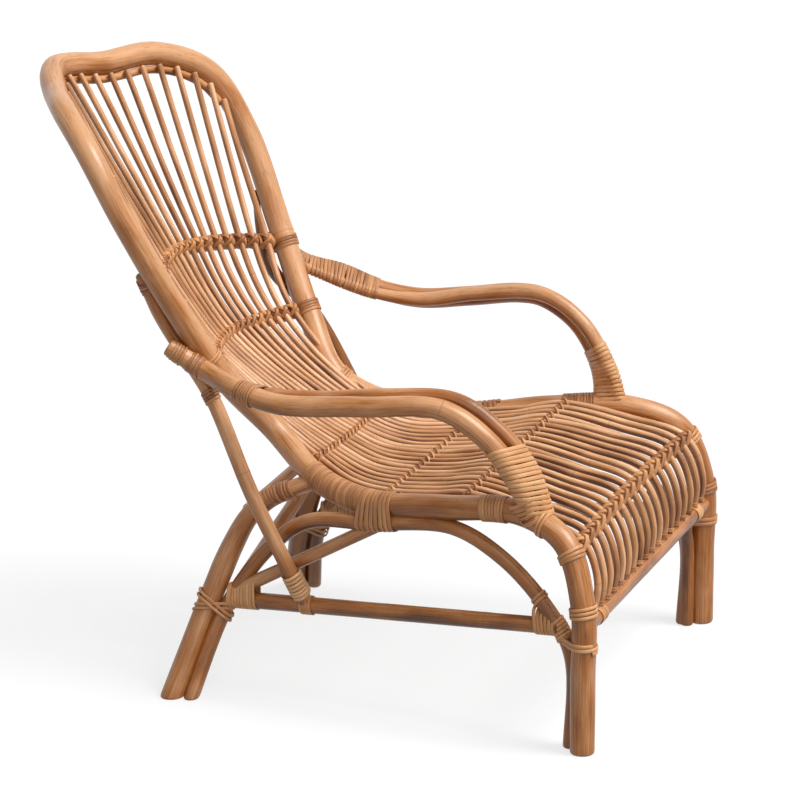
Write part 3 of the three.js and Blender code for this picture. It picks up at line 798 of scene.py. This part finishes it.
# Materials: lacquered rattan with lengthwise fibres, darker nodes, and uneven colour from pole to pole.
def node(tree, kind, inputs=None, **settings):
    made = tree.nodes.new(kind)
    for key, value in settings.items():
        setattr(made, key, value)
    for key, value in (inputs or {}).items():
        if isinstance(value, bpy.types.NodeSocket):
            tree.links.new(value, made.inputs[key])
        else:
            made.inputs[key].default_value = value
    return made


def noise(tree, vector, stretch, detail, roughness):
    scaled = node(tree, "ShaderNodeVectorMath", {0: vector, 1: stretch}, operation="MULTIPLY")
    made = node(tree, "ShaderNodeTexNoise", {"Vector": scaled.outputs[0], "Scale": 1.0, "Detail": detail,
                                             "Roughness": roughness})
    return made.outputs[0]


def ranged(tree, value, low, high, to_low, to_high):
    made = node(tree, "ShaderNodeMapRange", {"Value": value, "From Min": low, "From Max": high, "To Min": to_low,
                                             "To Max": to_high}, clamp=True)
    return made.outputs[0]


def math_node(tree, operation, a, b):
    return node(tree, "ShaderNodeMath", {0: a, 1: b}, operation=operation).outputs[0]


def mixed(tree, factor, a, b):
    made = node(tree, "ShaderNodeMix", data_type="RGBA")
    for index, value in ((0, factor), (6, a), (7, b)):
        if isinstance(value, bpy.types.NodeSocket):
            tree.links.new(value, made.inputs[index])
        else:
            made.inputs[index].default_value = value
    return made.outputs[2]


def linear(red, green, blue):
    channel = lambda v: v / 12.92 if v <= 0.04045 else ((v + 0.055) / 1.055) ** 2.4
    return (*(channel(v / 255.0) for v in (red, green, blue)), 1.0)


SCAR = linear(88, 50, 28)
CUT_DARK = linear(70, 42, 26)
CUT_PALE = linear(142, 94, 58)


def rattan(name, dark, middle, light, fibre, along, gloss, bump):
    """Material from three colours, the fineness of the fibres across and along, the roughness and the relief."""
    dark, middle, light = linear(*dark), linear(*middle), linear(*light)
    material = bpy.data.materials.new(name)
    material.use_nodes = True
    tree = material.node_tree
    shader = tree.nodes["Principled BSDF"]
    grain = node(tree, "ShaderNodeAttribute", attribute_name="grain").outputs["Vector"]
    marks = node(tree, "ShaderNodeSeparateXYZ",
                 {0: node(tree, "ShaderNodeAttribute", attribute_name="marks").outputs["Vector"]})
    ring, tone, cut = marks.outputs
    fibres = noise(tree, grain, (fibre, fibre, along), 4.0, 0.6)
    dashes = noise(tree, grain, (fibre * 1.9, fibre * 1.9, along * 5.0), 2.0, 0.5)
    broad = noise(tree, grain, (0.05, 0.05, 0.011), 2.0, 0.5)
    level = math_node(tree, "ADD", ranged(tree, fibres, 0.25, 0.75, -0.2, 0.2),
                      ranged(tree, broad, 0.3, 0.7, -0.24, 0.24))
    # The tone carries painted light on the tops of poles and spindles, painted shade under them, and painted shade
    # between the spindles.
    level = math_node(tree, "ADD", level, tone)
    ramp = node(tree, "ShaderNodeValToRGB", {0: level})
    stops = ramp.color_ramp.elements
    stops[0].position, stops[0].color = 0.08, dark
    stops[1].position, stops[1].color = 0.95, light
    stops.new(0.5).color = middle
    streak = ranged(tree, dashes, 0.56, 0.72, 0.0, 0.45)
    colour = mixed(tree, streak, ramp.outputs[0], dark)
    distance = node(tree, "ShaderNodeMath", {0: ring}, operation="ABSOLUTE").outputs[0]
    scar = ranged(tree, distance, 0.5, 1.8, 0.24, 0.0)
    halo = ranged(tree, distance, 2.0, 12.0, 0.1, 0.0)
    colour = mixed(tree, halo, colour, light)
    colour = mixed(tree, scar, colour, SCAR)
    pores = noise(tree, grain, (0.9, 0.9, 0.02), 2.0, 0.5)
    end_colour = mixed(tree, ranged(tree, pores, 0.4, 0.62, 0.0, 1.0), CUT_DARK, CUT_PALE)
    colour = mixed(tree, cut, colour, end_colour)
    tree.links.new(colour, shader.inputs["Base Color"])
    tree.links.new(ranged(tree, fibres, 0.3, 0.7, gloss - 0.07, gloss + 0.09), shader.inputs["Roughness"])
    relief = math_node(tree, "ADD", fibres, ranged(tree, distance, 0.0, 2.5, -0.8, 0.0))
    raised = node(tree, "ShaderNodeBump", {"Strength": bump, "Distance": 0.0006, "Height": relief})
    tree.links.new(raised.outputs[0], shader.inputs["Normal"])
    shader.inputs["Coat Weight"].default_value = 0.15
    shader.inputs["Coat Roughness"].default_value = 0.24
    shader.inputs["Specular IOR Level"].default_value = 0.42
    return material


POLE = rattan("pole_rattan", dark=(88, 46, 12), middle=(170, 103, 42), light=(210, 155, 108),
              fibre=0.42, along=0.010, gloss=0.36, bump=0.5)
SPINDLE = rattan("spindle_rattan", dark=(106, 56, 24), middle=(190, 132, 82), light=(232, 184, 142),
                 fibre=0.75, along=0.012, gloss=0.44, bump=0.45)
CANE = rattan("cane_binding", dark=(132, 78, 42), middle=(206, 146, 92), light=(232, 182, 132),
              fibre=0.9, along=0.02, gloss=0.46, bump=0.45)


def place(shape, name, material, slot, *nodes):
    """Makes a shape a piece of the chair, in the place of CAD nodes if any are named."""
    piece = shape.build(name, material)
    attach(piece, "root")
    if nodes:
        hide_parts(*nodes)


# Poles and spindles, one piece for each CAD node.
FEET = {"side_pole": (True, False), "rear_leg": (True, False), "side_arch": (True, True), "front_arch": (True, True)}
# gap_shade is the strength of the painted shade between the spindles; the poles get none.
POLE_BUILD = dict(corners=20, step=6.0, spread=0.12, swell=0.014, gap_shade=0.0)
SPINDLE_BUILD = dict(corners=12, step=8.0, spread=0.08, swell=0.03, gap_shade=0.3)
for seed, (name, path) in enumerate(paths.items(), start=1):
    shape = Shape()
    slender = name.startswith("spindle")
    feet = next((value for key, value in FEET.items() if name.startswith(key)), (False, False))
    pole(shape, path, seed, feet, **(SPINDLE_BUILD if slender else POLE_BUILD))
    place(shape, f"{name}_rattan", SPINDLE if slender else POLE, "spindle" if slender else "pole", name)


def turns_of(pole_name, centre, turns, pitch, **options):
    return dict(pole=pole_name, centre=centre, turns=turns, pitch=pitch, **options)


# Bindings, one for each CAD binding, and the lashings that the CAD model leaves out. A star stands for the side.
DARK_TONE = 0.26
PALE_TONE = 0.8
WINDINGS = {
    # The pale tone of this binding is painted light: it lifts a wrap that lies in the shade of the arm above it.
    "arm_front_binding_left": [turns_of("arm_*", (274, 150, 380), 15, 6.0, partner="arm_rider_*", tone=PALE_TONE)],
    "arm_front_binding_right": [
        turns_of("arm_*", (275, 105, 386), 15, 6.6, partner="arm_rider_*", thickness=2.2, slant=0.45, tone=0.6),
    ],
    "arm_rear_binding_left": [turns_of("arm_*", (253, 563, 507), 25, 5.6, partner="arm_rider_*", thickness=1.7)],
    "arm_rear_binding_right": [
        turns_of("arm_*", (270, 514, 473), 7, 4.4, partner="arm_rider_*", thickness=1.7, tone=DARK_TONE),
    ],
    "bend_binding_*": [turns_of("loop", (199, 403, 320), 24, 4.5, thickness=1.7, tone=DARK_TONE)],
    "rail_binding_left": [turns_of("loop", (256, 178, 334), 11, 4.6, thickness=1.7, tone=DARK_TONE)],
    "rail_binding_right": [turns_of("loop", (258, 146, 335), 8, 4.8, tone=DARK_TONE)],
    "knee_binding_*": [turns_of("loop", (300, 1, 215), 3, 5.4, thickness=2.8)],
    "rear_leg_binding_*": [
        turns_of("rear_leg_*", (206, 598, 128), 2, 8.0, partner="side_arch_*", width=4.4, thickness=2.4, slant=0.36,
                 start=0.75),
        turns_of("rear_leg_*", (206, 598, 128), 2, 8.0, partner="side_arch_*", width=4.4, thickness=2.4, slant=-0.36,
                 start=0.75, lift=2.0),
    ],
}
LASHINGS = {
    "leg_top_lashing_*": [turns_of("rear_leg_*", (186, 500, 299), 10, 5.4, tone=DARK_TONE)],
    "arch_lashing_*": [
        turns_of("loop", (229, 326, 315), 8, 7.0, partner="side_arch_*", thickness=2.2, tone=DARK_TONE),
    ],
    "leg_ring_*": [turns_of("loop", (300, 0, 162), 2, 6.0, partner="side_arch_*", thickness=2.6)],
    "edge_ring_*": [turns_of("loop", (290, 22, 290), 3, 5.4, thickness=2.6)],
    "upper_bar_ring_left": [turns_of("loop", (222, 628, 556), 4, 4.4, tone=DARK_TONE)],
    "lower_bar_ring_left": [turns_of("loop", (190, 586, 461), 4, 4.6, thickness=2.0, tone=DARK_TONE)],
    "waist_ring_left": [turns_of("loop", (140, 516, 377), 4, 4.6)],
    "stretcher_front_lashing_*": [turns_of("stretcher_*", (289, 56, 184), 9, 5.6, partner="side_arch_*", thickness=2.0),
                                  turns_of("side_arch_*", (286, 34, 180), 6, 5.2, thickness=2.2)],
    "stretcher_rear_lashing_*": [turns_of("stretcher_*", (207, 547, 139), 10, 5.0, partner="brace_*", thickness=2.0)],
    "strut_foot_lashing_*": [turns_of("back_strut_*", (237, 455, 182), 7, 5.4, thickness=3.0, lift=1.2, tone=PALE_TONE),
                             turns_of("stretcher_*", (224, 442, 149), 4, 5.0, thickness=2.4)],
    "strut_head_lashing_right": [turns_of("back_strut_*", 0.035, 4, 5.0, tone=DARK_TONE)],
    "strut_ring_right": [turns_of("back_strut_*", (222, 587, 450), 4, 4.6, tone=DARK_TONE)],
    "crossrail_ring_*": [turns_of("front_crossrail", (240, 0, 188), 5, 5.0)],
    "arch_ring_right": [turns_of("side_arch_*", (274, 74, 216), 2, 5.0, thickness=2.2)],
    "arm_tail_lashing_*": [turns_of("arm_*", 0.025, 4, 4.6, tone=DARK_TONE),
                           turns_of("arm_*", 0.07, 5, 4.6, tone=DARK_TONE)],
    "arm_stile_ring_right": [turns_of("loop", (192, 597, 500), 2, 5.0)],
    "arm_foot_lashing_right": [turns_of("arm_*", (271, 87, 346), 5, 6.4, partner="loop", thickness=2.4),
                               turns_of("loop", (274, 66, 326), 2, 5.0, thickness=2.6)],
}
# Bindings with no CAD node.
SCENE_ONLY = ("bend_binding_left",)


def path_of(name, side):
    return loop if name == "loop" else paths[name.replace("*", side)]


def wound(shape, side, spec, seed):
    """Winds one cane of a binding. Its centre is a station, or a fraction of the pole's length."""
    options = dict(spec)
    path = path_of(options.pop("pole"), side)
    centre = options.pop("centre")
    if isinstance(centre, tuple):
        centre = vec(centre) * (MIRROR if side == "right" else 1.0)
    else:
        centre = path.at(centre)
    partner = options.pop("partner", None)
    wind(shape, path, centre, seed=seed, partner=partner and path_of(partner, side), **options)


def sides_of(name):
    return [side for side in ("left", "right") if name.endswith("*") or name.endswith(side)]


seed = 200
for name, specs in (WINDINGS | LASHINGS).items():
    for side in sides_of(name):
        shape = Shape()
        for spec in specs:
            seed += 1
            wound(shape, side, spec, seed)
        full_name = name.replace("*", side)
        if name in WINDINGS and full_name not in SCENE_ONLY:
            place(shape, f"{full_name}_cane", CANE, "cane", full_name)
        else:
            place(shape, full_name, CANE, "cane")

# Knots where the spindles cross the bars, with the cane that runs round the bar from knot to knot.
KNOTS = {
    "upper_back_bar": dict(width=6.0, thickness=4.4, spread=1.7),
    "lower_back_bar": dict(width=6.0, thickness=4.4, spread=1.7),
    "rear_seat_bar": dict(width=4.6, thickness=2.8, spread=1.5),
    "middle_seat_bar": dict(width=4.4, thickness=2.8, spread=1.5),
    "front_seat_bar": dict(width=4.4, thickness=2.8, spread=1.5),
    "front_edge_bar": dict(width=7.2, thickness=5.2, spread=1.9),
}
BAR_PITCH = 7.0
BAR_CLEAR = 44.0
BAR_CANE = 5.2
BAR_CANE_SHARE = 0.9
for index, (name, knot) in enumerate(KNOTS.items()):
    shape = Shape()
    front = index == LAST_BAR
    for i in range(SPINDLE_COUNT):
        if front and i in SHORT_SPINDLES:
            continue
        across_bar = spindle_rank(i) / FRONT_STEPS if front else i / (SPINDLE_COUNT - 1)
        _, centre, along, outward = crossing(index, across_bar)
        seed += 1
        cross_lash(shape, centre, along, outward, BAR_D / 2, SPINDLE_D / 2, seed, **knot)
    path = paths[name]
    wind(shape, path, path.at(0.5), int((path.length - BAR_CLEAR) / BAR_PITCH), BAR_PITCH, seed, width=BAR_CANE,
         thickness=knot["thickness"] * BAR_CANE_SHARE, tone=KNOT_TONE)
    place(shape, f"{name}_knots", CANE, "cane")

# Ties at the feet of the spindles.
FOOT_TIE = 17.0
shape = Shape()
for i in range(SPINDLE_COUNT):
    if i in SHORT_SPINDLES:
        continue
    path = paths[f"spindle_{i + 1:02d}"]
    seed += 1
    wind(shape, path, path.at(1 - FOOT_TIE / path.length), turns=2, pitch=3.4, seed=seed, thickness=1.2,
         tone=KNOT_TONE)
place(shape, "spindle_foot_ties", CANE, "cane")


def seeing_rays(tree):
    """Gives 1 for the rays that see the background: from the camera, mirrored or through glass."""
    rays = node(tree, "ShaderNodeLightPath").outputs
    seen = math_node(tree, "MAXIMUM", rays["Is Camera Ray"], rays["Is Glossy Ray"])
    return math_node(tree, "MAXIMUM", seen, rays["Is Transmission Ray"])


# Floor, light and camera.
WHITE = (1.0, 1.0, 1.0, 1.0)
FLOOR_REACH = 40.0
FLOOR_SHADE = (0.26, 0.26, 0.26, 1.0)
FLOOR_GLOW = 0.75
SKY_FILL = (0.22, 0.22, 0.225, 1.0)
floor_mesh = bpy.data.meshes.new("floor")
floor_mesh.from_pydata([(x * FLOOR_REACH, y * FLOOR_REACH, 0.0) for x, y in ((-1, -1), (1, -1), (1, 1), (-1, 1))],
                       [], [(0, 1, 2, 3)])
floor = bpy.data.objects.new("floor", floor_mesh)
bpy.context.scene.collection.objects.link(floor)
floor_material = bpy.data.materials.new("pale_floor")
floor_material.use_nodes = True
floor_tree = floor_material.node_tree
floor_shader = floor_tree.nodes["Principled BSDF"]
floor_shader.inputs["Base Color"].default_value = FLOOR_SHADE
floor_shader.inputs["Roughness"].default_value = 0.9
floor_shader.inputs["Specular IOR Level"].default_value = 0.1
floor_shader.inputs["Emission Color"].default_value = WHITE
floor_glow = ranged(floor_tree, seeing_rays(floor_tree), 0.0, 1.0, 0.0, FLOOR_GLOW)
floor_tree.links.new(floor_glow, floor_shader.inputs["Emission Strength"])
floor_mesh.materials.append(floor_material)

world = bpy.data.worlds.new("studio")
bpy.context.scene.world = world
world.use_nodes = True
sky = world.node_tree
background = sky.nodes["Background"]
sky.links.new(mixed(sky, seeing_rays(sky), SKY_FILL, WHITE), background.inputs["Color"])
background.inputs["Strength"].default_value = 1.0


def sun(name, towards, strength, angle):
    lamp = bpy.data.lights.new(name, "SUN")
    lamp.energy, lamp.angle = strength, math.radians(angle)
    holder = bpy.data.objects.new(name, lamp)
    holder.rotation_euler = Vector(towards).to_track_quat("-Z", "Y").to_euler()
    bpy.context.scene.collection.objects.link(holder)


sun("key_light", towards=(0.0, 0.55, -0.83), strength=3.2, angle=30.0)
sun("fill_light", towards=(0.75, 0.45, -0.48), strength=0.75, angle=60.0)

# Camera, fitted to the photo: its place from the front legs, in metres, and where it looks.
CAMERA_PLACE = (-8.5926, -2.5568, 3.2303)
CAMERA_YAW = math.radians(71.158)
CAMERA_PITCH = math.radians(-17.322)
CAMERA_LENS = 293.18
CAMERA_SENSOR = 36.0
CAMERA_REACH = 200.0
lens = bpy.data.cameras.new("photo_camera")
lens.lens, lens.sensor_width, lens.clip_end = CAMERA_LENS, CAMERA_SENSOR, CAMERA_REACH
camera = bpy.data.objects.new("photo_camera", lens)
camera.location = (CAMERA_PLACE[0], CAMERA_PLACE[1] + FRONT_LEG_Y / 1000.0, CAMERA_PLACE[2])
gaze = Vector((math.sin(CAMERA_YAW) * math.cos(CAMERA_PITCH), math.cos(CAMERA_YAW) * math.cos(CAMERA_PITCH),
               math.sin(CAMERA_PITCH)))
camera.rotation_euler = gaze.to_track_quat("-Z", "Y").to_euler()
bpy.context.scene.collection.objects.link(camera)
bpy.context.scene.camera = camera
bpy.context.scene.view_settings.view_transform = "Standard"
